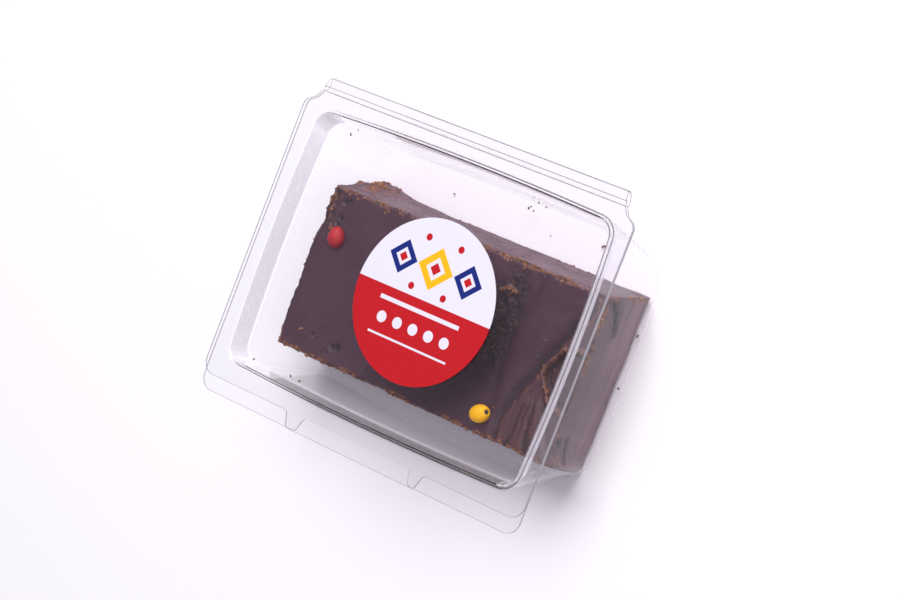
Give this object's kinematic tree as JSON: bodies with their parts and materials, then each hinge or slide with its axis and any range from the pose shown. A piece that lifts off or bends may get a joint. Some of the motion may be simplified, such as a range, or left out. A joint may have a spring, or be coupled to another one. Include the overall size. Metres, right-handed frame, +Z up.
{
  "type": "chocolate fudge in a clear hinged clamshell pack",
  "caption": "Shut clear clamshell pack with a slab of chocolate fudge inside, a sunk lid panel with a round label, and a rear hinge.",
  "frame": {"origin": "on the surface the pack stands on, under the middle of the pack's outline", "axes": "+X along the hinge, +Y towards the hinge, +Z up out of the lid"},
  "size_m": [0.1366, 0.111, 0.046],
  "materials": {
    "clear_sheet": "clear thermoformed sheet, glossy",
    "label_paper": "printed satin paper",
    "chocolate_fudge": "waxy chocolate, satin",
    "sugar_shell_red": "polished sugar shell",
    "sugar_shell_yellow": "polished sugar shell"
  },
  "bodies": {
    "base": {"tub": "clear_sheet", "fudge": "chocolate_fudge", "candy_red": "sugar_shell_red", "candy_yellow": "sugar_shell_yellow"},
    "lid": {"lid": "clear_sheet", "label": "label_paper"}
  },
  "joints": [
    {"name": "lid_hinge", "type": "hinge", "parent": "base", "child": "lid", "pos_m": [0, 0.0555, 0.0445], "axis": [-1, 0, 0], "range_deg": [0, 180]}
  ]
}
